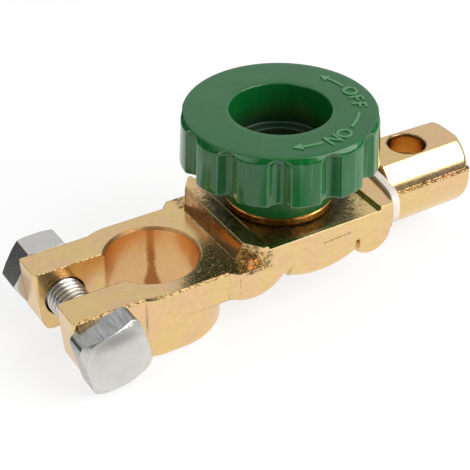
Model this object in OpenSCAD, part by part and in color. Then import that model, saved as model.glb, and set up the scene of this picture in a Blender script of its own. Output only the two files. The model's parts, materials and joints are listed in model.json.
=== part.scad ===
// Battery disconnect switch that clamps on a battery post and is opened by a green knob
// Origin: on the axis of the post bore, in the plane of the ring's underside
// +X runs towards the cable post, +Y towards the clamp nut, +Z up along the knob

/* [Clamp ring] */
// Diameter of the bore that closes on the battery post
bore_d = 19; // [17:0.1:20]
// Wall between the bore and the ring's outer face
ring_wall = 4.1; // [3.8:0.1:6]
// Height of the ring along the post
ring_h = 15; // [14.5:0.1:20]
// Rounding round the ring's foot
ring_foot_r = 1.8; // [0.4:0.1:2]
// Distance from the bore's axis back to where the ring's sides begin to swell
swell_x = 4.1; // [3:0.1:5]
// Radius of the swell between the ears and the ring's sides
swell_r = 9; // [7:0.1:12]
// Lead-in at the upper end of the bore
bore_lead = 0.5; // [0.2:0.1:1]

/* [Ears] */
// Distance from the bore's axis to the ends of the ears
ear_reach = 23.4; // [22.4:0.1:27]
// Gap between the two ears
slit_w = 10.2; // [8:0.1:12]
// Thickness of each ear
ear_t = 7.5; // [6:0.1:8]
// Height of the ears below the clamp's top
ear_h = 13.9; // [12:0.1:14.5]
// Lean of the ears' ends from top to foot
ear_lean = 1.3; // [0:0.1:2]
// Rounding of the ears' lower free corners
ear_corner_r = 2; // [1:0.1:3]
// Rounding of the ears' upright edges
ear_edge_r = 1; // [0.5:0.1:2.4]

/* [Clamp bolt] */
// Thread diameter of the clamp bolt
bolt_d = 8; // [6:0.1:8.5]
// Play of the bolt in the ears, across the diameter
bolt_play = 0.8; // [0.4:0.1:1.4]
// Distance from the bore's axis to the bolt's axis
bolt_x = 17; // [16.4:0.1:18]
// Depth of the bolt's axis below the clamp's top
bolt_drop = 7.1; // [6.6:0.1:7.4]
// Width across the flats of the square head
head_af = 13; // [11:0.1:13.5]
// Thickness of the square head
head_t = 5.7; // [4:0.1:7]
// Rounding of the square head's corners
head_corner_r = 1.9; // [0.5:0.1:3]
// Angle of the chamfer round the head's face, in degrees
head_chamfer = 30; // [20:1:40]
// Angle at which the head stands at rest, in degrees
head_turn = 13; // [0:1:45]
// Width across the flats of the hexagon nut
nut_af = 13.6; // [11:0.1:14]
// Thickness of the nut
nut_t = 6.5; // [4:0.1:8]
// Width of the nut's two faces outside the flats, left by the chamfer
nut_land = 0.4; // [0:0.1:0.8]
// Length of thread that stands out past the nut
bolt_tail = 3.4; // [1:0.1:8]

/* [Neck] */
// Width of the neck between ring and block
neck_w = 27.2; // [26:0.1:28]
// Thickness of the neck
neck_t = 6.6; // [5:0.1:7]
// Length over which the clamp widens from the neck to the block's foot
shoulder_l = 1.6; // [1:0.1:3]
// Distance from the ramp's foot back to the middle of that widening
shoulder_x = 2.4; // [1.6:0.1:3]

/* [Switch block] */
// Distance from the bore's axis to the block's top edge
block_x = 14.3; // [14:0.1:16]
// Length of the block's top, measured along its middle
block_l = 36; // [34:0.1:38]
// Width of the block
block_w = 30.4; // [29:0.1:33]
// Height of the contact face above the clamp's top
block_rise = 3.6; // [3:0.1:4.5]
// Height of the two end strips above the contact face
strip_h = 0.8; // [0.4:0.1:1.2]
// Width of the end strip beside the ramp
strip_near_w = 3.6; // [2.4:0.1:4]
// Width of the end strip beside the cable post, at its middle
strip_far_w = 5.2; // [4.4:0.1:6]
// Run of the ramp on the side of the battery post
ramp_run = 1.1; // [0.6:0.1:2]
// Cut of the two corners beside the ramp, along the block
corner_x = 2.7; // [1:0.1:4]
// Cut of the two corners beside the ramp, across the block
corner_y = 5; // [2:0.1:6]
// Radius of the bowed end that faces the cable post
bow_r = 57; // [50:1:90]
// Thickness of the wall between the ramp and the channel
end_wall = 1.6; // [1.2:0.1:3]
// Thickness of the roof over the channel
roof_t = 2.4; // [2:0.1:2.8]
// Thickness of the two side walls
wall_t = 2.6; // [2:0.1:3]

/* [Crimped tabs] */
// Reach of the folded lips under the channel
lip_reach = 3.4; // [2:0.1:4]
// Radius of the fold at the foot of the first two tabs
fold_r = 2.2; // [1:0.1:2.4]
// Radius of the fold at the foot of the last tab
fold_c_r = 0.6; // [0.4:0.1:2]
// Depth of the side walls' foot between the tabs, below the clamp's top
band_drop = 4.7; // [4:0.1:5.5]
// Width of the notches between the tabs
notch_w = 1; // [0.5:0.1:1.5]
// Depth of the lowest point of the first tab below the clamp's top
tab_a_drop = 8; // [7.4:0.1:8.4]
// Radius of the first tab's edge
tab_a_r = 9.4; // [9:0.1:11]
// Depth of the lowest point of the middle tab
tab_b_drop = 7.1; // [6.6:0.1:7.6]
// Radius of the middle tab's edge
tab_b_r = 20; // [16:0.1:24]
// Depth of the lowest point of the last tab
tab_c_drop = 6.3; // [6:0.1:6.8]
// Radius of the last tab's edge
tab_c_r = 4.9; // [4:0.1:6]

/* [Insulators] */
// Wall of the nylon liner over and beside the tongue
liner_t = 1; // [0.8:0.1:1.4]
// Thickness of the insulating plate under the tongue
base_t = 1; // [0.8:0.1:1.2]
// Thickness of the liner's collar outside the block
collar_t = 1.7; // [1:0.1:2]
// Height of the collar above the end strips
collar_rise = 0.9; // [0.4:0.1:1.5]
// Rounding of the collar's upper corners
collar_top_r = 3; // [2:0.1:5]
// Rounding of the collar's lower corners
collar_low_r = 3; // [1:0.1:4]
// Depth of the collar below the clamp's top
collar_drop = 2; // [1:0.1:4]
// Wall of the liner's bush round the contact screw
bush_wall = 1.7; // [1:0.1:2.4]
// Clearance of the contact screw in the bush and in the plate
bush_play = 0.5; // [0.3:0.1:1]
// Clearance between pieces that are slid together
seat_gap = 0.05; // [0.02:0.01:0.1]

/* [Cable terminal] */
// Thickness of the tongue inside the block
tongue_t = 3.8; // [3.4:0.1:4.2]
// Width of the tongue where it leaves the block
tongue_neck_w = 15; // [10:0.1:16]
// Distance that the tongue's wide part stops short of the block's end
wide_inset = 3; // [2:0.1:6]
// Gap between the collar and the cable post, at the middle
post_gap = 0.6; // [0.4:0.1:2]
// Length of the cable post
post_l = 21.3; // [18:0.1:24]
// Radius of the cable post at its root
post_r = 8.9; // [8.4:0.1:10]
// Loss of radius from the post's root to its end
post_taper = 0.3; // [0.2:0.1:1.2]
// Step by which the post's lower half stands out
post_step = 0.7; // [0.1:0.05:0.9]
// Depth of the post's axis below the clamp's top
post_drop = 1.1; // [0.5:0.1:1.6]
// Height above the post's axis at which its lower half stands out
post_split = 2.3; // [1:0.1:3]
// Height of the post's flat above the clamp's top
flat_rise = 6.2; // [5.4:0.1:6.6]
// Depth of the small flat under the post below the clamp's top
foot_drop = 9.8; // [9:0.1:9.9]
// Rounding of the post's end
post_end_r = 1.2; // [0.5:0.1:2]
// Diameter of the hole through the post for the cable's bolt
cable_hole_d = 8.2; // [6:0.1:8.4]
// Distance from the post's root to the hole's axis
cable_hole_x = 10.1; // [9:0.1:11]

/* [Contact screw] */
// Distance from the bore's axis to the knob's axis
knob_x = 30; // [29.6:0.1:31]
// Thread diameter of the contact screw
screw_d = 10; // [8:0.1:10.6]
// Play between the screw's thread and the tongue, per side
thread_play = 0.05; // [0.02:0.01:0.1]
// Length of thread that stands out under the tongue
screw_tip = 1.6; // [1:0.1:3]
// Width across the flats of the head moulded into the knob
screw_head_af = 13.4; // [12:0.1:13.6]
// Thickness of the head moulded into the knob
screw_head_t = 5.5; // [4:0.1:6]
// Diameter of the contact washer
washer_d = 22.6; // [20:0.1:24]
// Thickness of the contact washer
washer_t = 2.1; // [1.5:0.1:2.6]

/* [Knob] */
// Diameter over the knob's lobes, at their upper edge
knob_d = 40; // [36:0.1:41]
// Growth of the grip's radius towards its foot
grip_draft = 0.5; // [0:0.1:1]
// Height of the knob's lobed grip
grip_h = 10.8; // [10:0.1:14]
// Height of the plain boss under the grip
boss_h = 8.1; // [7:0.1:9]
// Diameter of the plain boss
boss_d = 23; // [21:0.1:26]
// Number of lobes round the grip
lobes = 12; // [8:1:16]
// Depth of the valleys between the lobes
valley_depth = 1; // [0.5:0.1:1.4]
// Width of each valley at the grip's outer face
valley_w = 3.9; // [3:0.1:5]
// Angle from +X at which the first valley lies, in degrees
valley_angle = -3; // [-15:1:15]
// Rounding of the lobes' upper edge
grip_edge_r = 1.1; // [0.8:0.1:2]
// Rounding of the grip's lower edge
grip_foot_r = 0.6; // [0.2:0.1:1]
// Diameter of the well in the knob
well_d = 20.6; // [17:0.1:21.4]
// Depth of the well
well_depth = 9.2; // [8:0.1:9.6]
// Diameter of the recess in the well's floor
recess_d = 16; // [15.8:0.1:17]
// Depth of the recess in the well's floor
recess_depth = 1.4; // [0.8:0.1:2]

/* [Hidden] */
$fn = 96;

// Length that cutters reach past the faces they cut
over = 1;
// Small corner of edges that a hand would feel
edge = 0.4;

// Clamp ring and ears
bore_r = bore_d / 2;
ring_r = bore_r + ring_wall;
top_z = ring_h;
ear_y = slit_w / 2 + ear_t;
ear_foot_z = top_z - ear_h;
swell_y = ring_r - swell_r;

// Clamp bolt
bolt_z = top_z - bolt_drop;
bolt_r = bolt_d / 2;
ear_hole_r = (bolt_d + bolt_play) / 2;
bolt_end_y = ear_y + nut_t + bolt_tail;

// Levels in the block, from its face down
face_z = top_z + block_rise;
strip_z = face_z + strip_h;
ceiling_z = face_z - roof_t;
tongue_top_z = ceiling_z - liner_t;
tongue_foot_z = tongue_top_z - tongue_t;
lip_z = tongue_foot_z - base_t;

// Plan of the block
block_end_x = block_x + block_l;
side_x = block_x - ramp_run - shoulder_x;
bow_x = block_end_x - bow_r;
channel_x = block_x + end_wall;
channel_y = block_w / 2 - wall_t;
face_x0 = block_x + strip_near_w;
face_x1 = block_end_x - strip_far_w;
lip_y = channel_y - lip_reach;

// Tabs: where each edge is lowest along the block
tab_a_x = block_x + 0.9;
tab_b_x = block_x + 16.8;
tab_c_x = block_x + 29;
notch_ab_x = block_x + 8.6;
notch_bc_x = block_x + 25.4;
notch_bc_z = top_z - 2.2;
band_z = top_z - band_drop;

// Collar and cable terminal
collar_z0 = top_z - collar_drop;
collar_z1 = strip_z + collar_rise;
collar_y = block_w / 2 - 0.2;
tongue_x = channel_x + liner_t + seat_gap;
tongue_y = channel_y - liner_t - seat_gap;
tongue_wide_x = block_end_x - wide_inset - seat_gap;
collar_in_r = bow_r + seat_gap;
collar_out_r = collar_in_r + collar_t;
post_x = block_end_x + seat_gap + collar_t + post_gap;
post_z = top_z - post_drop;
post_split_z = post_z + post_split;
flat_z = top_z + flat_rise;
foot_z = top_z - foot_drop;
cable_x = post_x + cable_hole_x;

// Contact screw and knob
screw_r = screw_d / 2;
tongue_hole_r = screw_r + thread_play;
bush_r = screw_r + bush_play + bush_wall;
screw_foot_z = tongue_foot_z - screw_tip;
washer_top_z = face_z + washer_t;
grip_z = washer_top_z + boss_h;
knob_top_z = grip_z + grip_h;
well_z = knob_top_z - well_depth;
head_top_z = well_z - recess_depth;
head_foot_z = head_top_z - screw_head_t;
knob_r = knob_d / 2;
foot_r = knob_r + grip_draft;
draft_angle = atan(grip_draft / grip_h);

// A bar along Y from y0 to y1, round, centred on the bolt's axis
module bolt_bar(r, y0, y1) {
    translate([-bolt_x, y0, bolt_z])
        rotate([-90, 0, 0])
            cylinder(r = r, h = y1 - y0);
}

// Half section of a foot-rounded disc of radius r, as high as the clamp
module skirt_profile(r) {
    f = ring_foot_r;
    union() {
        polygon([
            [0, 0],
            [r - f, 0],
            [r - f, f],
            [r, f],
            [r, top_z - edge],
            [r - edge, top_z],
            [0, top_z]
        ]);
        intersection() {
            translate([r - f, f]) circle(f);
            translate([r - f, 0]) square(f);
        }
    }
}

// Foot-rounded bar between the ring's middle and the swell, seen along the block
module skirt_bar_section() {
    for (s = [0, 1]) mirror([s, 0]) skirt_profile(ring_r);
}

// Ring whose sides run on straight and swell out from the ears, still solid
module ring_blank() {
    union() {
        rotate_extrude() skirt_profile(ring_r);
        translate([-swell_x, 0, 0])
            rotate([90, 0, 90])
                linear_extrude(swell_x) skirt_bar_section();
        for (s = [-1, 1])
            translate([-swell_x, s * swell_y, 0])
                rotate_extrude() skirt_profile(swell_r);
    }
}

// Bore with a lead-in at its upper end
module bore_cutter() {
    rotate_extrude()
        polygon([
            [0, -over],
            [bore_r, -over],
            [bore_r, top_z - bore_lead],
            [bore_r + bore_lead + over, top_z + over],
            [0, top_z + over]
        ]);
}

// Outline of both ears seen along the bolt: a leaning end and a round lower corner
module ear_side() {
    r = ear_corner_r;
    foot_x = -ear_reach + ear_lean;
    difference() {
        polygon([
            [-ear_reach, top_z],
            [foot_x, ear_foot_z],
            [0, ear_foot_z],
            [0, top_z]
        ]);
        difference() {
            translate([foot_x - ear_lean, ear_foot_z - over]) square(r + ear_lean);
            translate([foot_x + r, ear_foot_z + r]) circle(r);
            translate([foot_x - ear_lean, ear_foot_z + r]) square(r + ear_lean);
        }
    }
}

// Ears from above, with rounded upright edges beside the slit and outside
module ears_plan() {
    r = ear_edge_r;
    for (s = [-1, 1])
        translate([0, s * (slit_w + ear_t) / 2])
            union() {
                translate([-ear_reach + r, -ear_t / 2]) square([ear_reach - r, ear_t]);
                translate([-ear_reach, -ear_t / 2 + r]) square([r, ear_t - 2 * r]);
                for (i = [-1, 1])
                    translate([-ear_reach + r, i * (ear_t / 2 - r)]) circle(r);
            }
}

// Section across the clamp whose two upper edges are broken
module top_section(half_w, z0) {
    polygon([
        [-half_w, z0],
        [half_w, z0],
        [half_w, top_z - edge],
        [half_w - edge, top_z],
        [-half_w + edge, top_z],
        [-half_w, top_z - edge]
    ]);
}

// Both ears before the bolt's hole is cut
module ears_blank() {
    intersection() {
        translate([-ear_reach - over, 0, 0])
            rotate([90, 0, 90])
                linear_extrude(ear_reach + over) top_section(ear_y, 0);
        translate([0, ear_y + over, 0])
            rotate([90, 0, 0])
                linear_extrude(2 * (ear_y + over)) ear_side();
        linear_extrude(top_z + over) ears_plan();
    }
}

// Foot of the block from above, stepping in beside the neck
module lower_plan() {
    half_n = neck_w / 2;
    half_b = block_w / 2;
    intersection() {
        polygon([
            [side_x - shoulder_l / 2, -half_n],
            [side_x + shoulder_l / 2, -half_b],
            [block_end_x, -half_b],
            [block_end_x, half_b],
            [side_x + shoulder_l / 2, half_b],
            [side_x - shoulder_l / 2, half_n]
        ]);
        translate([bow_x, 0]) circle(bow_r, $fn = 360);
    }
}

// Raised part of the block from above
module upper_plan() {
    half_b = block_w / 2;
    foot_x = block_x - ramp_run;
    intersection() {
        polygon([
            [foot_x, -half_b + corner_y],
            [block_x + corner_x, -half_b],
            [block_end_x, -half_b],
            [block_end_x, half_b],
            [block_x + corner_x, half_b],
            [foot_x, half_b - corner_y]
        ]);
        translate([bow_x, 0]) circle(bow_r, $fn = 360);
    }
}

// Raised part of the block seen from the side, with the ramp and the two end strips
module upper_side() {
    polygon([
        [block_x - ramp_run, top_z - over],
        [block_x - ramp_run, top_z],
        [block_x, strip_z],
        [face_x0, strip_z],
        [face_x0 + edge, face_z],
        [face_x1, face_z],
        [face_x1, strip_z],
        [block_end_x + over, strip_z],
        [block_end_x + over, top_z - over]
    ]);
}

// Round tab standing on edge outside the channel, its outer rim folded over
module tab_disc(x, low_z, r, f) {
    depth = block_w / 2 - lip_y;
    translate([x, -block_w / 2, low_z + r])
        rotate([-90, 0, 0])
            rotate_extrude()
                union() {
                    polygon([
                        [0, 0],
                        [r - f, 0],
                        [r - f, f],
                        [r, f],
                        [r, depth],
                        [0, depth]
                    ]);
                    intersection() {
                        translate([r - f, f]) circle(f);
                        translate([r - f, 0]) square(f);
                    }
                }
}

// One tab on each side of the block, kept between x0 and x1
module tab_pair(x, drop, r, f, x0, x1) {
    for (s = [0, 1])
        mirror([0, s, 0])
            intersection() {
                tab_disc(x, top_z - drop, r, f);
                translate([x0, -block_w / 2 - over, 0])
                    cube([x1 - x0, block_w / 2, top_z]);
            }
}

// Band of the side walls over the tabs, seen from the side
module band_side() {
    keep_r = tab_c_r - fold_c_r;
    z = top_z - tab_c_drop + tab_c_r;
    difference() {
        translate([side_x - over, band_z])
            square([block_end_x - side_x + 2 * over, top_z - band_z]);
        translate([notch_bc_x - notch_w / 2, 0]) square([notch_w, notch_bc_z]);
        translate([notch_bc_x, notch_bc_z]) circle(notch_w / 2);
        difference() {
            translate([tab_c_x, 0]) square([block_end_x - tab_c_x + over, z]);
            translate([tab_c_x, z]) circle(keep_r);
        }
    }
}

// Section across the band, its lower edges folded like the tabs
module band_section() {
    half_b = block_w / 2;
    union() {
        translate([-half_b, band_z + fold_r])
            square([block_w, top_z - band_z - fold_r]);
        translate([-half_b + fold_r, band_z])
            square([block_w - 2 * fold_r, top_z - band_z]);
        for (s = [-1, 1])
            translate([s * (half_b - fold_r), band_z + fold_r]) circle(fold_r);
    }
}

// Neck, running on as the end wall of the channel
module neck_blank() {
    rotate([90, 0, 90]) linear_extrude(channel_x) top_section(neck_w / 2, top_z - neck_t);
}

// Solid of the block's foot: a band and three pairs of tabs
module lower_blank() {
    half_gap = notch_w / 2;
    intersection() {
        linear_extrude(top_z) lower_plan();
        union() {
            intersection() {
                translate([0, block_w / 2 + over, 0])
                    rotate([90, 0, 0])
                        linear_extrude(block_w + 2 * over) band_side();
                rotate([90, 0, 90])
                    linear_extrude(block_end_x + over) band_section();
            }
            tab_pair(tab_a_x, tab_a_drop, tab_a_r, fold_r, 0, notch_ab_x - half_gap);
            tab_pair(tab_b_x, tab_b_drop, tab_b_r, fold_r,
                     notch_ab_x + half_gap, notch_bc_x - half_gap);
            tab_pair(tab_c_x, tab_c_drop, tab_c_r, fold_c_r, notch_bc_x + half_gap, block_end_x);
        }
    }
}

// Solid of the raised part of the block
module upper_blank() {
    intersection() {
        linear_extrude(strip_z + over) upper_plan();
        translate([0, block_w / 2 + over, 0])
            rotate([90, 0, 0])
                linear_extrude(block_w + 2 * over) upper_side();
    }
}

// Space for the liner, the tongue and the plate, and the mouth between the lips
module channel_cutter() {
    length = block_end_x - channel_x + over;
    translate([channel_x, -channel_y, lip_z])
        cube([length, 2 * channel_y, ceiling_z - lip_z]);
    translate([channel_x, -lip_y, -over])
        cube([length, 2 * lip_y, lip_z + 2 * over]);
}

// Cast clamp with the switch block: one piece
module clamp_body() {
    color("goldenrod")
    difference() {
        union() {
            ring_blank();
            ears_blank();
            neck_blank();
            lower_blank();
            upper_blank();
        }
        bore_cutter();
        translate([-ear_reach - over, -slit_w / 2, -over])
            cube([ear_reach + over, slit_w, top_z + 2 * over]);
        bolt_bar(ear_hole_r, -ear_y - over, ear_y + over);
        channel_cutter();
        translate([knob_x, 0, ceiling_z - over])
            cylinder(r = bush_r + seat_gap, h = roof_t + 2 * over);
    }
}

// Square head with rounded corners and a chamfered face, lying along Y
module bolt_head() {
    half = head_af / 2;
    r = head_corner_r;
    translate([-bolt_x, -ear_y - head_t, bolt_z])
        rotate([-90, 0, 0])
            rotate([0, 0, -head_turn])
                intersection() {
                    union() {
                        translate([-half + r, -half, 0])
                            cube([head_af - 2 * r, head_af, head_t]);
                        translate([-half, -half + r, 0])
                            cube([head_af, head_af - 2 * r, head_t]);
                        for (i = [-1, 1], j = [-1, 1])
                            translate([i * (half - r), j * (half - r), 0])
                                cylinder(r = r, h = head_t, $fn = 48);
                    }
                    cylinder(r1 = half, r2 = half + head_t / tan(head_chamfer), h = head_t);
                }
}

// Bolt through both ears, its thread left plain
module clamp_bolt() {
    color("silver")
    union() {
        bolt_head();
        bolt_bar(bolt_r, -ear_y - edge, bolt_end_y - edge);
        translate([-bolt_x, bolt_end_y - edge, bolt_z])
            rotate([-90, 0, 0])
                cylinder(r1 = bolt_r, r2 = bolt_r - edge, h = edge);
    }
}

// Hexagon nut with one flat on top and chamfered corners
module clamp_nut() {
    corner = nut_af / 2 / cos(30);
    face_r = nut_af / 2 + nut_land / 2;
    rise = nut_t + 2 * over;
    color("silver")
    translate([-bolt_x, ear_y, bolt_z])
        rotate([-90, 0, 0])
            difference() {
                intersection() {
                    cylinder(r = corner, h = nut_t, $fn = 6);
                    cylinder(r1 = face_r, r2 = face_r + 2 * nut_t, h = nut_t);
                    cylinder(r1 = face_r + 2 * nut_t, r2 = face_r, h = nut_t);
                }
                translate([0, 0, -over]) cylinder(r = bolt_r + thread_play, h = rise);
            }
}

// Outline of the collar seen along the block
module collar_outline() {
    union() {
        translate([-collar_y + collar_top_r, collar_z0 + collar_low_r])
            square([2 * (collar_y - collar_top_r), collar_z1 - collar_z0 - collar_low_r]);
        translate([-collar_y, collar_z0 + collar_low_r])
            square([2 * collar_y, collar_z1 - collar_z0 - collar_low_r - collar_top_r]);
        translate([-collar_y + collar_low_r, collar_z0])
            square([2 * (collar_y - collar_low_r), collar_low_r]);
        for (s = [-1, 1]) {
            translate([s * (collar_y - collar_top_r), collar_z1 - collar_top_r])
                circle(collar_top_r);
            translate([s * (collar_y - collar_low_r), collar_z0 + collar_low_r])
                circle(collar_low_r);
        }
    }
}

// Collar bowed like the block's end
module collar_blank() {
    intersection() {
        translate([face_x1, 0, 0])
            rotate([90, 0, 90])
                linear_extrude(post_x - face_x1) collar_outline();
        translate([bow_x, 0, 0])
            difference() {
                cylinder(r = collar_out_r, h = collar_z1 + over, $fn = 360);
                translate([0, 0, -over])
                    cylinder(r = collar_in_r, h = collar_z1 + 3 * over, $fn = 360);
            }
    }
}

// Space inside the bowed end, out to radius r and up from z0
module bow_space(r, z0) {
    translate([bow_x, 0, z0]) cylinder(r = r, h = strip_z - z0, $fn = 360);
}

// Nylon liner: a trough upside down, a bush for the screw and the collar outside the block
module insulator_liner() {
    y = channel_y - seat_gap;
    inner_y = tongue_y + seat_gap;
    neck_y = tongue_neck_w / 2 + seat_gap;
    inner_x = channel_x + liner_t;
    color("white")
    difference() {
        union() {
            intersection() {
                translate([channel_x, -y, lip_z])
                    cube([block_l, 2 * y, ceiling_z - lip_z]);
                union() {
                    bow_space(bow_r, 0);
                    bow_space(collar_in_r + collar_t / 2, collar_z0);
                }
            }
            collar_blank();
            translate([knob_x, 0, tongue_top_z])
                cylinder(r = bush_r, h = face_z - seat_gap - tongue_top_z);
        }
        translate([inner_x, -inner_y, -over])
            cube([tongue_wide_x + seat_gap - inner_x, 2 * inner_y, tongue_top_z + over]);
        translate([inner_x, -neck_y, -over])
            cube([block_l, 2 * neck_y, tongue_top_z + over]);
        translate([knob_x, 0, 0])
            cylinder(r = screw_r + bush_play, h = strip_z + over);
    }
}

// Plan of the tongue: wide under the block, narrow where it leaves it and runs to x1
module tongue_plan(x1) {
    half_n = tongue_neck_w / 2;
    union() {
        translate([tongue_x, -tongue_y]) square([tongue_wide_x - tongue_x, 2 * tongue_y]);
        translate([tongue_x, -half_n]) square([x1 - tongue_x, tongue_neck_w]);
    }
}

// Insulating plate that the folded lips hold against the tongue
module base_insulator() {
    color("ivory")
    difference() {
        intersection() {
            translate([0, 0, lip_z]) linear_extrude(base_t) tongue_plan(block_end_x);
            bow_space(bow_r, 0);
        }
        translate([knob_x, 0, lip_z - over])
            cylinder(r = screw_r + bush_play, h = base_t + 2 * over);
    }
}

// Round post lying along X, tapered to its end, which is rounded
module post_round(r0, r1) {
    f = post_end_r;
    translate([post_x, 0, post_z])
        rotate([0, 90, 0])
            rotate_extrude()
                union() {
                    polygon([[0, 0], [r0, 0], [r1, post_l - f], [r1 - f, post_l], [0, post_l]]);
                    intersection() {
                        translate([r1 - f, post_l - f]) circle(f);
                        translate([r1 - f, post_l - f]) square(f);
                    }
                }
}

// Space above or below a level, as long and wide as the post
module post_slab(z0, z1) {
    translate([post_x - over, -2 * post_r, z0])
        cube([post_l + 2 * over, 4 * post_r, z1 - z0]);
}

// Tongue and cable post cast as one piece
module cable_terminal() {
    post_end = post_r - post_taper;
    color("goldenrod")
    difference() {
        union() {
            intersection() {
                post_round(post_r, post_end);
                post_slab(post_split_z - over, flat_z);
            }
            intersection() {
                post_round(post_r + post_step, post_end + post_step);
                post_slab(foot_z, post_split_z);
            }
            translate([0, 0, tongue_foot_z]) linear_extrude(tongue_t) tongue_plan(post_x + over);
        }
        translate([cable_x, 0, foot_z - over])
            cylinder(r = cable_hole_d / 2, h = flat_z - foot_z + 2 * over);
        translate([cable_x, 0, flat_z - edge / 2])
            cylinder(r1 = cable_hole_d / 2, r2 = cable_hole_d / 2 + edge / 2 + over, h = edge / 2 + over);
        translate([knob_x, 0, tongue_foot_z - over])
            cylinder(r = tongue_hole_r, h = tongue_t + 2 * over);
    }
}

// Loose ring that bears on the block's face and carries the current
module contact_washer() {
    r = washer_d / 2;
    color("darkorange")
    translate([knob_x, 0, face_z])
        rotate_extrude()
            polygon([
                [screw_r + thread_play, 0],
                [r - edge, 0],
                [r, edge],
                [r, washer_t - edge],
                [r - edge, washer_t],
                [screw_r + thread_play, washer_t]
            ]);
}

// Screw moulded into the knob, its thread left plain
module contact_screw() {
    corner = screw_head_af / 2 / cos(30);
    color("goldenrod")
    translate([knob_x, 0, 0])
        union() {
            translate([0, 0, head_foot_z]) cylinder(r = corner, h = screw_head_t, $fn = 6);
            translate([0, 0, screw_foot_z + edge])
                cylinder(r = screw_r, h = head_foot_z - screw_foot_z);
            translate([0, 0, screw_foot_z])
                cylinder(r1 = screw_r - edge, r2 = screw_r, h = edge);
        }
}

// Turned shape of the knob before its valleys and its well are cut
module knob_profile() {
    boss_r = boss_d / 2;
    e = grip_edge_r;
    f = grip_foot_r;
    difference() {
        union() {
            translate([0, washer_top_z]) square([boss_r, boss_h + over]);
            polygon([
                [0, grip_z],
                [foot_r, grip_z],
                [knob_r, knob_top_z],
                [0, knob_top_z]
            ]);
        }
        difference() {
            translate([knob_r - e, knob_top_z - e]) square(e + over);
            translate([knob_r - e, knob_top_z - e]) circle(e);
        }
        difference() {
            translate([foot_r - f, grip_z - over]) square(f + over);
            translate([foot_r - f, grip_z + f]) circle(f);
        }
    }
}

// One valley's cutter, leaning with the grip's side
module valley_cutter() {
    half_w = valley_w / 2;
    r = (half_w * half_w + valley_depth * valley_depth) / (2 * valley_depth);
    translate([knob_r - valley_depth + r, 0, knob_top_z])
        rotate([0, -draft_angle, 0])
            translate([0, 0, -grip_h - over])
                cylinder(r = r, h = grip_h + 2 * over, $fn = 48);
}

// Green knob with a lobed grip, a deep well and a plain boss
module knob() {
    corner = screw_head_af / 2 / cos(30);
    color("seagreen")
    translate([knob_x, 0, 0])
        difference() {
            rotate_extrude() knob_profile();
            for (i = [0 : lobes - 1])
                rotate([0, 0, valley_angle + i * 360 / lobes]) valley_cutter();
            translate([0, 0, well_z]) cylinder(r = well_d / 2, h = well_depth + over);
            translate([0, 0, head_top_z]) cylinder(r = recess_d / 2, h = recess_depth + over);
            translate([0, 0, head_foot_z])
                cylinder(r = corner + seat_gap, h = screw_head_t + over / 2, $fn = 6);
            translate([0, 0, washer_top_z - over])
                cylinder(r = screw_r + seat_gap, h = head_foot_z - washer_top_z + 2 * over);
        }
}

clamp_body();
clamp_bolt();
clamp_nut();
insulator_liner();
base_insulator();
cable_terminal();
contact_washer();
contact_screw();
knob();
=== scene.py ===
"""Looks of a battery disconnect switch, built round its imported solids."""
import json
import math
from contextlib import contextmanager
from types import SimpleNamespace

import bpy
from bpy.props import FloatProperty, FloatVectorProperty, IntProperty, PointerProperty
from mathutils import Matrix, Vector


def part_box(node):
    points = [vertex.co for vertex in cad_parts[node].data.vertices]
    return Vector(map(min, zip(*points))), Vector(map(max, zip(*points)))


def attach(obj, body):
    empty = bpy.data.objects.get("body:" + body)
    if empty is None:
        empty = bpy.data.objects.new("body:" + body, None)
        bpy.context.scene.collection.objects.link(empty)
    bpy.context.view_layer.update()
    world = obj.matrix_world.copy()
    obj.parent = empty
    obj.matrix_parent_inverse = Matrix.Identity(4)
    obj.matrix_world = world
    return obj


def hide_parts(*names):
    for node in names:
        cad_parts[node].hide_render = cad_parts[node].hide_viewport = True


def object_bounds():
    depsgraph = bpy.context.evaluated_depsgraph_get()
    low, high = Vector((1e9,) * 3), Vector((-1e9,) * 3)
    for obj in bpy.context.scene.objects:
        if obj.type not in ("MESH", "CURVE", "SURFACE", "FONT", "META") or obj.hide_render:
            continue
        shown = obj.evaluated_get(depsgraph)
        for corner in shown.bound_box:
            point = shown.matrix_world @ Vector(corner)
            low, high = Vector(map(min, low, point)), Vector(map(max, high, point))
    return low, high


bl_info = {
    "name": "Battery disconnect switch",
    "version": (1, 0, 0),
    "blender": (4, 5, 0),
    "location": "3D View > Sidebar > Switch",
    "description": "Dresses the clamp, bolt, post and knob of a battery disconnect switch",
    "category": "Object",
}

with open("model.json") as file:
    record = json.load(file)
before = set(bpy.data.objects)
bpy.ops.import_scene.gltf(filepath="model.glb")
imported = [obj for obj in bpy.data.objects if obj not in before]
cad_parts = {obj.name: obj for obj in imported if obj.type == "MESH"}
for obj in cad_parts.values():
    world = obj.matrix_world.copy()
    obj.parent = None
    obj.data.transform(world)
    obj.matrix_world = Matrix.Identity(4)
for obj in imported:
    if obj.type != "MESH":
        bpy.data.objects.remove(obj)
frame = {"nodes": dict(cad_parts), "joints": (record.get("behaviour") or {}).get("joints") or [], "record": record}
CAD_LOW, CAD_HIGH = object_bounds()
MM = 0.001
JOINTS = {joint["name"]: joint for joint in frame["joints"]}
MOUNTS = {mount["name"]: mount for mount in frame["record"]["mounts"]}
KNOB_AXIS = Vector(JOINTS["knob_turn"]["pos_m"])
BOLT_AXIS = Vector(JOINTS["bolt_turn"]["pos_m"])
KNOB_LOW, KNOB_TOP = (corner.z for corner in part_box("knob"))
SCREW_LOW, SCREW_HEAD_TOP = (corner.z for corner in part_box("contact_screw"))
EAR_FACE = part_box("clamp_nut")[0].y

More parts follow.
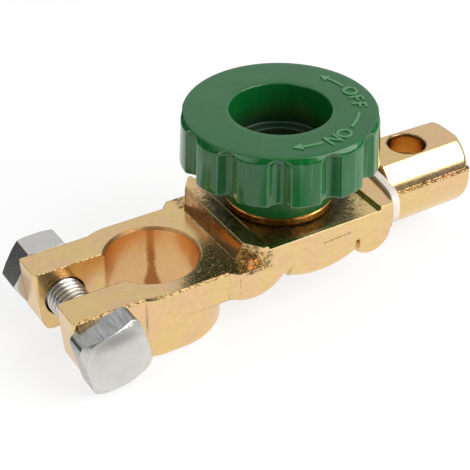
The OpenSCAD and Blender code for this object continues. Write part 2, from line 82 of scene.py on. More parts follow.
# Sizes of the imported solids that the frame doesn't name
BOLT_RADIUS = 4 * MM
SCREW_RADIUS = 5 * MM
SCREW_HEAD_LOW = SCREW_HEAD_TOP - 5.5 * MM
HEX_HALF = math.pi / 6  # half of one side of the screw's hexagon head
HEX_REACH = 13.5 / 2 / math.cos(HEX_HALF) * MM  # out to the hexagon's corners
LOBE_TURN = math.radians(12)  # the middle of the first lobe

# Places on the casting and the post, in millimetres as the materials count
BORE = MOUNTS["post_bore"]["dims"]["r_mm"]
HOLE = MOUNTS["cable_hole"]["dims"]["r_mm"]
HOLE_X = MOUNTS["cable_hole"]["pos_m"][0] / MM
TOP = 15.0  # the clamp's top
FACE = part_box("contact_washer")[0].z / MM  # the block's face under the contact flange
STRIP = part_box("clamp_body")[1].z / MM  # the top of the strips at the block's ends
FLAT = MOUNTS["cable_face"]["pos_m"][2] / MM  # the flat on the post
SPLIT = 16.25  # the middle of the post's split
RIDGE = 17.85  # the strip beside the ramp
BLOCK_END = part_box("clamp_body")[1].x / MM  # the block's end at the post
EAR = EAR_FACE / MM

# How finely pieces are made
WELD = 0.002 * MM
THREAD_WELD = 0.005 * MM
THREAD_STEPS = 48
LOBE_STEPS = 40
BEVEL_SAMPLES = 6

# One turn of a thread from root to root: steps outwards in depths and along in pitches
THREAD = (
    (0, 0.12), (0.85, 0.32), (0.15, 0.05), (0, 0.08), (-0.15, 0.05), (-0.85, 0.32), (0, 0.06))
# A capital letter's height as a share of the font's size
CAPITAL = 0.7

# Angles of the marks round the knob in degrees: the letters, the start and end of each
# arrow's bar with its head and its way, and the bar between the two words
LETTERS = (("O", -71.5), ("N", -83.2), ("O", -6), ("F", -17.2), ("F", -27))
ARROWS = ((-91.5, -107, -109.5, -1), (19, 3.2, 21.5, 1))
BETWEEN = (-38.5, -60.5)

# Colours of small areas
WHITE = (1.0, 1.0, 1.0)
GLOW = (0.80, 0.34, 0.08)  # the bore's wall near its top
GLINT = (0.62, 0.46, 0.17)  # painted glints of gold in the knob's painted reflection, and a painted highlight on the strip's step
SLOPE_SHADE = (0.30, 0.18, 0.05)  # painted shade on the slopes beside the ramp
EDGE_HIGHLIGHT = (0.95, 0.72, 0.34)  # painted highlight along the edges
CREST_HIGHLIGHT = (0.95, 0.80, 0.40)  # painted highlight along the block's top edges
THREAD_ROOTS = (0.10, 0.09, 0.06)  # darker down in the bolt's thread
PRESSED = (0.20, 0.21, 0.23)  # lines along the sides of the bolt's head
RUBBED = (0.85, 0.84, 0.82)  # edges of the head and the nut
SCOOP_HIGHLIGHT = (0.17, 0.34, 0.15)  # painted highlights on the edges beside the knob's scoops


# Sizes and colours that a user would change

class CastingLook(bpy.types.PropertyGroup):
    """Finish of the cast clamp and the cable post"""
    gold: FloatVectorProperty(
        name="Plating", description="Colour of the gold plating",
        default=(0.80, 0.572, 0.258), subtype="COLOR", min=0, max=1)
    rose: FloatVectorProperty(
        name="Warm patches", description="Colour of the plating's rosy patches",
        default=(0.80, 0.535, 0.295), subtype="COLOR", min=0, max=1)
    bore: FloatVectorProperty(
        name="Bore", description="Colour of the bore's wall",
        default=(0.76, 0.45, 0.19), subtype="COLOR", min=0, max=1)
    stain: FloatVectorProperty(
        name="Stain", description="Colour of the dark brown stains in corners and along edges",
        default=(0.09, 0.042, 0.012), subtype="COLOR", min=0, max=1)
    stain_light: FloatVectorProperty(
        name="Thin stain", description="Colour where the stains are thin",
        default=(0.33, 0.11, 0.020), subtype="COLOR", min=0, max=1)
    # The dark colour round the contact flange is a painted reflection of the knob's dark underside
    knob_reflection: FloatVectorProperty(
        name="Film", description="Colour of the dark film round the contact flange",
        default=(0.075, 0.085, 0.026), subtype="COLOR", min=0, max=1)
    seam: FloatProperty(
        name="Seam", description="Direction of the stained seam in the bore",
        default=math.radians(64), min=-math.pi, max=math.pi, subtype="ANGLE")
    edge: FloatProperty(
        name="Edge", description="Width of the worn edges",
        default=0.3 * MM, min=0.05 * MM, max=0.6 * MM, precision=5, unit="LENGTH")


class SteelLook(bpy.types.PropertyGroup):
    """Threads and finish of the clamp bolt and its nut"""
    zinc: FloatVectorProperty(
        name="Zinc", description="Colour of the zinc plating",
        default=(0.66, 0.645, 0.60), subtype="COLOR", min=0, max=1)
    pitch: FloatProperty(
        name="Thread pitch", description="Distance between the bolt's threads",
        default=1.25 * MM, min=0.5 * MM, max=2 * MM, precision=5, unit="LENGTH")
    depth: FloatProperty(
        name="Thread depth", description="Depth of the bolt's thread",
        default=0.7 * MM, min=0.2 * MM, max=1 * MM, precision=5, unit="LENGTH")
    edge: FloatProperty(
        name="Edge", description="Rounding of the head's and the nut's edges",
        default=0.25 * MM, min=0.05 * MM, max=0.6 * MM, precision=5, unit="LENGTH")


class ContactLook(bpy.types.PropertyGroup):
    """Finish of the contact washer and screw"""
    copper: FloatVectorProperty(
        name="Contact metal", description="Colour of the contact washer and screw",
        default=(0.86, 0.38, 0.10), subtype="COLOR", min=0, max=1)
    pitch: FloatProperty(
        name="Thread pitch", description="Distance between the contact screw's threads",
        default=1.5 * MM, min=0.5 * MM, max=2 * MM, precision=5, unit="LENGTH")
    depth: FloatProperty(
        name="Thread depth", description="Depth of the contact screw's thread",
        default=0.85 * MM, min=0.2 * MM, max=1.2 * MM, precision=5, unit="LENGTH")
    # Width of the painted shade along the contact metal's edges
    edge: FloatProperty(
        name="Edge", description="Width of the dark edges",
        default=0.2 * MM, min=0.05 * MM, max=0.6 * MM, precision=5, unit="LENGTH")


class NylonLook(bpy.types.PropertyGroup):
    """Finish of the two insulators"""
    milky: FloatVectorProperty(
        name="Nylon", description="Colour of the milky nylon",
        default=(0.84, 0.74, 0.67), subtype="COLOR", min=0, max=1)
    edge: FloatProperty(
        name="Edge", description="Rounding of the collar's edges",
        default=0.3 * MM, min=0.05 * MM, max=0.6 * MM, precision=5, unit="LENGTH")


class KnobLook(bpy.types.PropertyGroup):
    """Shape and finish of the knob, and the marks on its top"""
    green: FloatVectorProperty(
        name="Plastic", description="Colour of the moulded plastic",
        default=(0.004, 0.120, 0.021), subtype="COLOR", min=0, max=1)
    lobes: IntProperty(
        name="Lobes", description="Number of lobes round the grip", default=12, min=3, max=24)
    radius: FloatProperty(
        name="Radius", description="Radius over the lobes at the top",
        default=20 * MM, min=15 * MM, max=25 * MM, precision=5, unit="LENGTH")
    draft: FloatProperty(
        name="Draft", description="How much wider the grip is at its foot",
        default=0.5 * MM, min=0, max=1 * MM, precision=5, unit="LENGTH")
    rim: FloatProperty(
        name="Rim", description="Radius of the flat top",
        default=19.35 * MM, min=14 * MM, max=25 * MM, precision=5, unit="LENGTH")
    grip: FloatProperty(
        name="Grip height", description="Height of the lobed grip",
        default=10.8 * MM, min=6 * MM, max=15 * MM, precision=5, unit="LENGTH")
    scoop: FloatProperty(
        name="Scoop depth", description="Depth of the hollows between the lobes",
        default=1.7 * MM, min=0, max=2.5 * MM, precision=5, unit="LENGTH")
    scoop_width: FloatProperty(
        name="Scoop width", description="Width of the hollows between the lobes",
        default=4.7 * MM, min=1 * MM, max=6 * MM, precision=5, unit="LENGTH")
    boss: FloatProperty(
        name="Boss radius", description="Radius of the boss under the grip",
        default=11.5 * MM, min=8 * MM, max=14 * MM, precision=5, unit="LENGTH")
    well: FloatProperty(
        name="Well radius", description="Radius of the well in the top",
        default=10.3 * MM, min=8 * MM, max=12 * MM, precision=5, unit="LENGTH")
    well_depth: FloatProperty(
        name="Well depth", description="Depth of the well",
        default=9.2 * MM, min=2 * MM, max=12 * MM, precision=5, unit="LENGTH")
    recess: FloatProperty(
        name="Recess radius", description="Radius of the recess in the well's floor",
        default=8 * MM, min=7 * MM, max=10 * MM, precision=5, unit="LENGTH")
    # Sets the width of the painted highlights beside the scoops; the knob's shape does not read it
    edge: FloatProperty(
        name="Edge", description="Rounding of the edges beside the scoops",
        default=0.3 * MM, min=0.05 * MM, max=0.6 * MM, precision=5, unit="LENGTH")
    mark_radius: FloatProperty(
        name="Ring of marks", description="Distance of the marks from the knob's axis",
        default=15.6 * MM, min=13 * MM, max=17 * MM, precision=5, unit="LENGTH")
    mark_height: FloatProperty(
        name="Letter height", description="Height of the letters",
        default=3.0 * MM, min=1 * MM, max=4 * MM, precision=5, unit="LENGTH")
    mark_rise: FloatProperty(
        name="Rise", description="Height of the marks above the knob's top",
        default=0.22 * MM, min=0.05 * MM, max=0.5 * MM, precision=5, unit="LENGTH")
    mark_width: FloatProperty(
        name="Bar width", description="Width of the arrows' bars",
        default=0.55 * MM, min=0.2 * MM, max=1 * MM, precision=5, unit="LENGTH")
    arrow_radius: FloatProperty(
        name="Arrow head", description="Radius of the arrows' heads",
        default=1.3 * MM, min=0.5 * MM, max=2 * MM, precision=5, unit="LENGTH")


class StageLook(bpy.types.PropertyGroup):
    """Camera, floor and light"""
    eye: FloatVectorProperty(
        name="Camera", description="Place of the camera", size=3,
        default=(-0.10224, -0.20131, 0.17537), precision=5, subtype="TRANSLATION", unit="LENGTH")
    lens: FloatProperty(
        name="Lens", description="Focal length in millimetres on a 36 mm sensor",
        default=106.16, min=20, max=300)
    fill: FloatProperty(
        name="Fill light", description="Strength of the light from all round",
        default=0.72, min=0, max=2)
    key_power: FloatProperty(
        name="Key light", description="Power of the large soft lamp, in watts",
        default=2.56, min=0, max=20)
    side_power: FloatProperty(
        name="Side light", description="Power of the weak lamp at the left, in watts",
        default=0.4, min=0, max=20)
    floor: FloatProperty(
        name="Floor", description="Length of the floor's sides",
        default=8, min=1, max=20, unit="LENGTH")
    columns: IntProperty(
        name="Floor divisions", description="Number of parts along each side of the floor",
        default=4, min=1, max=20)


# Materials

class Value:
    """A socket of a material in the making; arithmetic on it adds Math nodes"""

    def __init__(self, finish, socket):
        self.finish = finish
        self.socket = socket

    def math(self, operation, *values):
        """Adds one Math node"""
        return self.finish.node(
            "ShaderNodeMath", {"operation": operation}, dict(enumerate(values)))

    def __add__(self, other):
        return self.math("ADD", self, other)

    __radd__ = __add__

    def __sub__(self, other):
        return self.math("SUBTRACT", self, other)

    def __rsub__(self, other):
        return self.math("SUBTRACT", other, self)

    def __mul__(self, other):
        return self.math("MULTIPLY", self, other)

    __rmul__ = __mul__

    def power(self, other):
        """This value to a power"""
        return self.math("POWER", self, other)

    def most(self, other):
        """The larger of two values"""
        return self.math("MAXIMUM", self, other)

    def size(self):
        """The value without its sign"""
        return self.math("ABSOLUTE", self)


class Finish:
    """The nodes of a material or of the world, added one by one"""

    def __init__(self, owner, output="ShaderNodeOutputMaterial"):
        self.owner = owner
        self.output = output
        owner.use_nodes = True
        self.tree = owner.node_tree
        self.tree.nodes.clear()

    def node(self, kind, settings=None, sockets=None, output=0):
        """Adds a node with its settings and its sockets' values or links"""
        node = self.tree.nodes.new(kind)
        for name, value in (settings or {}).items():
            setattr(node, name, value)
        for name, value in (sockets or {}).items():
            if isinstance(value, Value):
                self.tree.links.new(value.socket, node.inputs[name])
            else:
                node.inputs[name].default_value = value
        return Value(self, node.outputs[output]) if node.outputs else None

    def place(self):
        """Object coordinates in millimetres"""
        here = self.node("ShaderNodeTexCoord", output="Object")
        return self.node(
            "ShaderNodeVectorMath", {"operation": "SCALE"}, {0: here, "Scale": 1 / MM})

    def axes(self, vector):
        """The three parts of a vector"""
        split = self.node("ShaderNodeSeparateXYZ", None, {0: vector}).socket.node
        return [Value(self, socket) for socket in split.outputs]

    def stretch(self, vector, scale):
        """A vector scaled differently along each axis"""
        return self.node(
            "ShaderNodeVectorMath", {"operation": "MULTIPLY"}, {0: vector, 1: scale})

    def dot(self, first, second):
        """How much two directions are the same"""
        return self.node(
            "ShaderNodeVectorMath", {"operation": "DOT_PRODUCT"}, {0: first, 1: second}, "Value")

    def reach(self, across, along):
        """The distance from an axis"""
        return (across * across + along * along).power(0.5)

    def noise(self, vector, scale, detail, rough):
        """Noise from 0 to 1"""
        return self.node("ShaderNodeTexNoise", None, {
            "Vector": vector, "Scale": scale, "Detail": detail, "Roughness": rough})

    def ease(self, value, low, high):
        """A soft step from 0 at low to 1 at high"""
        return self.node("ShaderNodeMapRange", {"interpolation_type": "SMOOTHSTEP"}, {
            0: value, 1: low, 2: high, 3: 0.0, 4: 1.0})

    def fade(self, value, low, high):
        """A soft step from 1 at low to 0 at high"""
        return 1 - self.ease(value, low, high)

    def band(self, value, start, full, fall, end):
        """1 from full to fall, and softly 0 at start and at end"""
        return self.ease(value, start, full) * self.fade(value, fall, end)

    def colour(self, factor, first, second):
        """A mix of two colours"""
        first, second = (
            side if isinstance(side, Value) else (*side, 1) for side in (first, second))
        return self.node(
            "ShaderNodeMix", {"data_type": "RGBA"}, {0: factor, 6: first, 7: second}, 2)

    def bump(self, height, strength, distance, normal=None):
        """A bumped normal"""
        sockets = {"Height": height, "Strength": strength, "Distance": distance}
        if normal is not None:
            sockets["Normal"] = normal
        return self.node("ShaderNodeBump", None, sockets)

    def flat(self):
        """The direction that each face looks in"""
        return self.node("ShaderNodeNewGeometry", output="True Normal")

    def rounded(self, radius):
        """The normal with its edges rounded off"""
        return self.node("ShaderNodeBevel", {"samples": BEVEL_SAMPLES}, {0: radius})

    def edges(self, soft):
        """A mask of the edges that a rounded normal goes round"""
        return self.ease(1 - self.dot(soft, self.flat()), 0.004, 0.06)

    def ray(self, kind):
        """1 for rays of a kind, such as Camera or Glossy"""
        return self.node("ShaderNodeLightPath", output=f"Is {kind} Ray")

    def end(self, shader):
        """Adds the output after the last shader"""
        self.node(self.output, None, {0: shader})
        return self.owner

    def surface(self, sockets):
        """Ends the material with a Principled shader"""
        return self.end(self.node("ShaderNodeBsdfPrincipled", None, sockets))


def tone(colour, share):
    """A colour made darker, or lighter"""
    return tuple(min(1, part * share) for part in colour)


def stray(noise, width):
    """Noise turned into a stray to both sides"""
    return (noise - 0.5) * width


def plated(m, look, at):
    """The plating itself: gold with rosy clouds, dull streaks and brown specks"""
    broad = m.noise(at.p, 0.13, 2, 0.5)
    streaks = m.noise(m.stretch(at.p, (0.25, 2.5, 2.5)), 1.2, 3, 0.6)
    tint = m.colour(m.ease(broad, 0.4, 0.62), look.gold, look.rose)
    dull = m.ease(at.cloudy * 0.5 + streaks * 0.5, 0.45, 0.65)
    tint = m.colour(dull * 0.5, tint, tone(look.gold, 0.84))
    specks = m.ease(m.noise(at.p, 2.6, 3, 0.7), 0.66, 0.72)
    return m.colour(specks * 0.35, tint, look.stain)


def warm_bore(m, look, at, tint):
    """The bore: an orange wall with a stained seam down it, and a brown mouth"""
    at.wall = m.fade(at.bore, BORE + 0.2, BORE + 0.45) * m.fade(at.z, TOP - 0.8, TOP - 0.4)
    tint = m.colour(at.wall * 0.72, tint, look.bore)
    seam_x, seam_y = math.cos(look.seam), math.sin(look.seam)
    beside = (at.x * seam_y - at.y * seam_x + stray(at.cloudy, 1.0) + stray(at.grain, 0.6)).size()
    width = 0.75 + m.fade(at.z, 0.0, 5.0) * 1.1
    seam = m.fade(beside - width, -0.4, 0.5) * at.wall \
        * m.ease(at.x * seam_x + at.y * seam_y, 0.0, 2.0)
    tint = m.colour(seam * 0.9, tint, look.stain_light)
    at.mouth = m.band(at.bore, BORE - 0.3, BORE, BORE + 0.3, BORE + 0.65) \
        * m.ease(at.z, TOP - 0.8, TOP - 0.4) * m.ease(at.fine * 0.4 + at.cloudy * 0.6, 0.3, 0.5)
    tint = m.colour(at.mouth * 0.7, tint, look.stain_light)
    glow = at.wall * m.ease(at.z + stray(at.cloudy, 4.0), 8.0, 14.5)
    return m.colour(glow * 0.5, tint, GLOW)


def stains_and_shade(m, look, at, tint):
    """Brown stains in the post's split, on the ramp and at its corners, and painted shade on the ear's face over
    the bolt's head
    """
    at.split = m.ease(at.x, BLOCK_END + 0.3, BLOCK_END + 0.9) \
        * m.fade((at.z - SPLIT).size(), 0.2, 0.5)
    tint = m.colour(at.split * (0.35 + at.patch * 0.6), tint, look.stain)
    # Painted shade on the ear's face over the bolt's head
    shade_over_head = m.fade(at.y, -EAR - 0.3, -EAR) * m.fade(at.x, -9.5, -8.0) * m.ease(at.z, 11.0, 12.5)
    tint = m.colour(shade_over_head * (0.25 + at.patch * 0.6), tint, look.stain_light)
    ramp = m.band(at.x, 12.6, 13.4, 14.4, 15.4) * m.ease(at.z, TOP + 0.05, TOP + 0.6) \
        * m.ease(at.y, -13.0, 2.0)
    tint = m.colour(ramp * (0.5 + at.patch * 0.35), tint, look.stain_light)
    at.corner = m.ease(at.y.size(), 10.6, 11.6) * m.band(at.x, 12.4, 13.2, 18.6, 19.2) \
        * m.band(at.z, TOP - 1.1, TOP - 0.6, FACE - 0.3, FACE - 0.1)
    tint = m.colour(at.corner * 0.1, tint, look.stain_light)
    return m.colour(at.corner * at.patch * 0.85, tint, look.stain)


def paint_knob_reflection(m, look, at, tint):
    """Painted reflection of the knob's dark underside round the contact flange and on the neck, darker near the
    flange, with painted glints of gold in it
    """
    under = m.reach(at.x - KNOB_AXIS.x / MM, at.y)
    ragged = stray(at.cloudy, 10.0) + stray(at.grain, 7.0) + stray(at.fine, 7.0)
    wider = m.fade(at.x, 18.0, 24.0) * m.fade(at.y, -3.0, 3.0) * 4.0
    # Painted reflection of the knob's dark underside on the block's top round the flange
    at.knob_reflection = m.fade(under - wider + ragged, 13.5, 18.0) * m.ease(at.z, FACE - 0.18, FACE - 0.08) \
        * m.fade(at.x, 44.0, 48.0) * m.fade(at.y.size(), 13.9, 14.7)
    slanting = at.x - at.y * 1.05 + stray(at.cloudy, 5.0) + stray(at.grain, 5.0)
    # The same painted reflection on the neck
    neck = m.ease(slanting, 12.0, 16.0) * m.fade(at.x, 13.6, 13.9) \
        * m.band(at.z, TOP - 0.1, TOP - 0.03, TOP + 0.1, TOP + 0.2) * m.fade(at.y, 1.0, 5.0)
    speck = m.ease(m.noise(at.p, 2.4, 3, 0.7), 0.5, 0.64)
    at.specked = speck * (neck + at.knob_reflection)
    dark = at.knob_reflection * (0.66 + at.patch * 0.3) + neck * (0.78 + speck * 0.2)
    tint = m.colour(dark, tint, look.knob_reflection)
    # The painted reflection is darker still close to the flange
    at.near = m.fade(under, 13.0, 16.0) * at.knob_reflection
    tint = m.colour(at.near * 0.6, tint, tone(look.knob_reflection, 0.3))
    # Painted highlight along the step at the strip's edge, less metallic so it is lit from all round
    ridge = m.fade((at.x - RIDGE).size(), 0.1, 0.3) * m.ease(at.z, FACE + 0.1, STRIP - 0.1) \
        * m.fade(at.y.size(), 7.0, 8.5)
    # Painted glints of gold in the painted reflection, less metallic so they are lit from all round
    glint = m.ease(m.noise(at.p, 2.3, 2, 0.6), 0.6, 0.68)
    at.glint = (glint * (neck * 0.9 + at.knob_reflection * 0.3 - at.near * 0.3)).most(ridge)
    return m.colour(at.glint * 0.8, tint, GLINT)


def marked(m, look, at, tint):
    """The scratch along the block's front, and the burr round the post's hole"""
    scratch = (at.z - 15.55 - (at.x - 32.9) * 0.043 + stray(at.grain, 0.5)).size()
    scratch = m.fade(scratch, 0.08, 0.2) * m.band(at.x, 31.0, 31.5, 37.6, 38.0) \
        * m.fade(at.y, -15.1, -15.0) * m.ease(at.fine, 0.45, 0.5)
    tint = m.colour(scratch * 0.85, tint, look.stain)
    burr = m.reach(at.x - HOLE_X, at.y) + stray(at.grain, 1.2)
    burr = m.fade(burr, HOLE + 0.15, HOLE + 0.5) * m.ease(at.z, FLAT - 1.0, FLAT - 0.4) \
        * m.ease(at.x, 55.0, 56.0)
    return m.colour(burr * 0.8, tint, look.stain)


def edge_light_and_shade(m, look, at, tint):
    """Painted highlights along the edges and the block's top edges, broken by dark brown, and painted shade on the
    slopes beside the ramp
    """
    up = m.axes(m.flat())[2]
    # Painted shade on the slopes beside the ramp, dimming the key lamp's highlight there
    at.slant = m.band(up, 0.12, 0.3, 0.9, 0.97) \
        * m.band(at.z, TOP - 1.4, TOP - 1.0, TOP + 0.02, TOP + 0.1) \
        * m.fade(at.x, 40.0, 41.0) * m.ease(at.bore, BORE + 0.8, BORE + 1.1)
    tint = m.colour(at.slant * 0.8, tint, SLOPE_SHADE)
    at.border = at.rim.most(at.slant) * m.ease(at.bore, BORE + 0.7, BORE + 1.0) * (1 - at.split)
    # Painted highlight along the edges
    bright = at.border * m.ease(at.cloudy, 0.35, 0.6) * (1 - at.slant * 0.75)
    tint = m.colour(bright * 0.7, tint, EDGE_HIGHLIGHT)
    broken = m.ease(m.noise(m.stretch(at.p, (1.0, 1.0, 2.5)), 1.5, 4, 0.8), 0.46, 0.56)
    on_block = m.ease(at.z, FACE - 1.6, FACE - 0.6) * m.fade(at.x, BLOCK_END - 0.3, BLOCK_END + 0.7)
    tint = m.colour(at.border * broken * (1 - on_block * 0.6) * 0.92, tint, look.stain)
    # Painted highlight along the block's top edges, less metallic so it is lit from all round
    crest = at.rim * m.ease(at.z, FACE - 0.6, FACE - 0.3) \
        * m.fade(at.x, BLOCK_END - 0.8, BLOCK_END + 0.2) \
        * m.ease(at.fine * 0.5 + at.grain * 0.5, 0.38, 0.5)
    beside_reflection = m.fade((at.x - RIDGE - 0.05).size(), 0.3, 0.6) \
        * m.band(at.y.size(), 7.5, 8.5, 14.4, 14.8)
    at.crest = crest * (1 - beside_reflection)
    return m.colour(at.crest * 0.8, tint, CREST_HIGHLIGHT)


def gold_plating(look, name):
    """Gold plating on cast brass; each area's masks are kept for the gloss and the bump"""
    m = Finish(bpy.data.materials.new(name))
    p = m.place()
    x, y, z = m.axes(p)
    soft = m.rounded(look.edge)
    at = SimpleNamespace(
        p=p, x=x, y=y, z=z, bore=m.reach(x, y), rim=m.edges(soft),
        cloudy=m.noise(p, 0.9, 3, 0.6), fine=m.noise(p, 5.0, 3, 0.6),
        grain=m.noise(p, 2.2, 2, 0.5), patch=m.ease(m.noise(p, 1.1, 4, 0.8), 0.44, 0.58))
    tint = plated(m, look, at)
    # Each area lies over those before it
    for area in (warm_bore, stains_and_shade, paint_knob_reflection, marked, edge_light_and_shade):
        tint = area(m, look, at, tint)
    rough = 0.1 + at.cloudy * 0.12 + at.fine * 0.06 + at.wall * 0.1 + at.mouth * 0.25 \
        + at.slant * 0.2 + at.knob_reflection * 0.12 + at.near * 0.15
    metal = 1 - at.glint.most(at.slant * 0.5).most(at.crest) * 0.8
    coarse = 0.6 + at.border * 2.5 + at.corner * 2 - at.wall * 0.5
    height = (at.cloudy * 0.5 + at.fine * 0.25) * (1 - at.wall * 0.8) \
        + at.grain * coarse + at.specked * 1.6
    return m.surface({
        "Base Color": tint, "Metallic": metal, "Roughness": rough,
        "Normal": m.bump(height, 0.4, 0.05 * MM, soft)})


def zinc_plating(look, name):
    """Bright zinc on steel, darker down in the threads"""
    m = Finish(bpy.data.materials.new(name))
    p = m.place()
    x, y, z = m.axes(p)
    soft = m.rounded(look.edge)
    cloudy = m.noise(p, 0.35, 3, 0.5)
    fine = m.noise(p, 5.0, 2, 0.6)
    lines = m.noise(m.stretch(p, (2.0, 0.1, 2.0)), 2.2, 2, 0.6)
    tint = m.colour(
        m.ease(cloudy, 0.35, 0.7) * 0.5 + fine * 0.1, look.zinc, tone(look.zinc, 0.88))
    reach = m.reach(x - BOLT_AXIS.x / MM, z - BOLT_AXIS.z / MM)
    crest = BOLT_RADIUS / MM
    groove = m.fade(reach, crest - 0.65, crest - 0.05) * m.ease(y, -EAR + 0.1, -EAR + 0.3)
    tint = m.colour(groove * 0.85, tint, THREAD_ROOTS)
    facing = m.axes(m.flat())[1].size()
    side = m.fade(facing, 0.45, 0.75) * m.fade(y, -EAR - 0.3, -EAR - 0.1)
    pressed = m.noise(m.stretch(p, (3.0, 0.12, 3.0)), 2.0, 3, 0.7)
    tint = m.colour(side * (0.3 + m.ease(pressed, 0.42, 0.6) * 0.5), tint, PRESSED)
    tint = m.colour(m.edges(soft) * 0.5, tint, RUBBED)
    return m.surface({
        "Base Color": tint, "Metallic": 1.0, "Roughness": 0.2 + cloudy * 0.1 + fine * 0.06,
        "Normal": m.bump(fine * 0.5 + lines * 0.5, 0.25, 0.03 * MM, soft)})


def contact_metal(look, name):
    """Polished orange contact metal, with painted shade along its edges"""
    m = Finish(bpy.data.materials.new(name))
    p = m.place()
    soft = m.rounded(look.edge)
    cloudy = m.noise(p, 0.8, 3, 0.6)
    fine = m.noise(p, 9.0, 2, 0.6)
    tint = m.colour(m.ease(cloudy, 0.4, 0.7) * 0.7, look.copper, tone(look.copper, 0.4))
    # Painted shade along the edges
    tint = m.colour(m.edges(soft) * 0.85, tint, tone(look.copper, 0.15))
    return m.surface({
        "Base Color": tint, "Metallic": 1.0, "Roughness": 0.1 + fine * 0.1,
        "Normal": m.bump(fine, 0.3, 0.02 * MM, soft)})


def milky_nylon(look, name):
    """Milky nylon that lets a little light in"""
    m = Finish(bpy.data.materials.new(name))
    p = m.place()
    fine = m.noise(p, 8.0, 2, 0.5)
    return m.surface({
        "Base Color": m.colour(m.noise(p, 0.35, 3, 0.5), look.milky, tone(look.milky, 1.1)),
        "Roughness": 0.32 + fine * 0.1, "Subsurface Weight": 0.35,
        "Subsurface Radius": (1.0, 0.8, 0.7), "Subsurface Scale": 0.8 * MM,
        "Normal": m.bump(fine, 0.15, 0.03 * MM, m.rounded(look.edge))})


def green_plastic(look, name):
    """Glossy moulded plastic with faint upright streaks, painted highlights up its walls and beside its scoops,
    and painted shade down in its well
    """
    m = Finish(bpy.data.materials.new(name))
    p = m.place()
    x, y, z = m.axes(p)
    top, foot = KNOB_TOP / MM, (KNOB_TOP - look.grip) / MM
    well, rim = look.well / MM, look.rim / MM
    reach = m.reach(x - KNOB_AXIS.x / MM, y)
    inside = m.fade(reach, well, well + 0.2)
    floor = inside * m.fade(z, top - 9.1, top - 3.6)
    walls = m.band(z, foot - 0.3, foot, top - 0.6, top - 0.1) * (1 - inside)
    grip = m.ease(reach, rim - 2.0, rim - 1.6) * m.fade(z, top - 1.4, top - 1.0)
    cloudy = m.noise(p, 0.12, 3, 0.5)
    broad = m.noise(p, 0.6, 2, 0.5)
    fine = m.noise(p, 4.0, 2, 0.5)
    streaks = m.noise(m.stretch(p, (1.0, 1.0, 0.04)), 2.4, 3, 0.6)
    bands = m.noise(m.stretch(p, (1.0, 1.0, 0.02)), 0.8, 2, 0.6)
    uneven = m.ease(cloudy, 0.35, 0.65) * 0.4 + m.ease(streaks, 0.4, 0.65) * 0.5
    tint = m.colour(uneven, look.green, tone(look.green, 0.75))
    # Painted highlights: lighter upright bands up the grip's walls
    bright = tuple(part + 0.012 for part in tone(look.green, 1.5))
    tint = m.colour(m.ease(bands, 0.5, 0.62) * walls * 0.7, tint, bright)
    # Painted highlights on the edges beside the scoops
    tint = m.colour(m.edges(m.rounded(look.edge)) * 0.7, tint, SCOOP_HIGHLIGHT)
    # Painted shade down in the well
    tint = m.colour(floor * 0.85, tint, tone(look.green, 0.1))
    return m.surface({
        "Base Color": tint, "IOR": 1.5,
        "Roughness": 0.08 + cloudy * 0.06 + fine * 0.06 + floor * 0.3,
        "Coat Weight": grip * 0.3, "Coat IOR": 1.5, "Coat Roughness": 0.04,
        "Normal": m.bump(fine * 0.4 + broad * 0.5 + streaks * 0.5, 0.12, 0.06 * MM)})


# Modelling

def only(*objects):
    """Selects these objects and no others"""
    if bpy.context.mode != "OBJECT":
        bpy.ops.object.mode_set(mode="OBJECT")
    bpy.ops.object.select_all(action="DESELECT")
    for o in objects:
        o.select_set(True)
    bpy.context.view_layer.objects.active = objects[0]


@contextmanager
def editing(piece):
    """Edit mode on one piece, with all of it selected"""
    only(piece)
    bpy.ops.object.mode_set(mode="EDIT")
    bpy.ops.mesh.select_all(action="SELECT")
    yield
    bpy.ops.object.mode_set(mode="OBJECT")


def wear(piece, material):
    """Gives a piece its one material"""
    piece.data.materials.clear()
    piece.data.materials.append(material)


def settle(piece, name, material):
    """Names a piece, bakes its place into its mesh and gives it its material"""
    only(piece)
    bpy.ops.object.transform_apply(location=True, rotation=True, scale=True)
    piece.name = name
    piece.data.name = name
    wear(piece, material)
    return piece


def dress(node, material):
    """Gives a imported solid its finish"""
    solid = frame["nodes"][node]
    wear(solid, material)


def finish_piece(piece, body, slot, *nodes):
    """Puts a piece on its body and hides the imported solids that it stands for"""
    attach(piece, body)
    if nodes:
        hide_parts(*nodes)


def shade(piece, angle):
    """Shades all but the sharp edges smooth"""
    only(piece)
    bpy.ops.object.shade_smooth_by_angle(angle=math.radians(angle))


def merged_copy(node, name, material):
    """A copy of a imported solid, its loose triangles merged into faces"""
    piece = bpy.data.objects.new(name, frame["nodes"][node].data.copy())
    bpy.context.scene.collection.objects.link(piece)
    settle(piece, name, material)
    with editing(piece):
        bpy.ops.mesh.remove_doubles(threshold=WELD)
        bpy.ops.mesh.customdata_custom_splitnormals_clear()
        bpy.ops.mesh.dissolve_limited(angle_limit=math.radians(0.4))
    return piece


def traced(start, steps):
    """A line over the XZ plane, drawn from its start by steps"""
    bpy.ops.object.select_all(action="DESELECT")
    bpy.ops.mesh.primitive_plane_add(size=MM, location=(0, 0, 0))
    piece = bpy.context.active_object
    with editing(piece):
        bpy.ops.mesh.merge(type="CENTER")
        bpy.ops.transform.translate(value=(start[0], 0, start[1]))
        for across, up in steps:
            bpy.ops.mesh.extrude_vertices_move(
                TRANSFORM_OT_translate={"value": (across, 0, up)})
    return piece


def spun(piece, steps, angle, center):
    """Spins a piece round an upright axis into a closed shape"""
    with editing(piece):
        bpy.ops.mesh.spin(steps=steps, angle=angle, center=center, axis=(0, 0, 1))
        bpy.ops.mesh.select_all(action="SELECT")
        bpy.ops.mesh.remove_doubles(threshold=WELD)
        bpy.ops.mesh.normals_make_consistent(inside=False)
    return piece


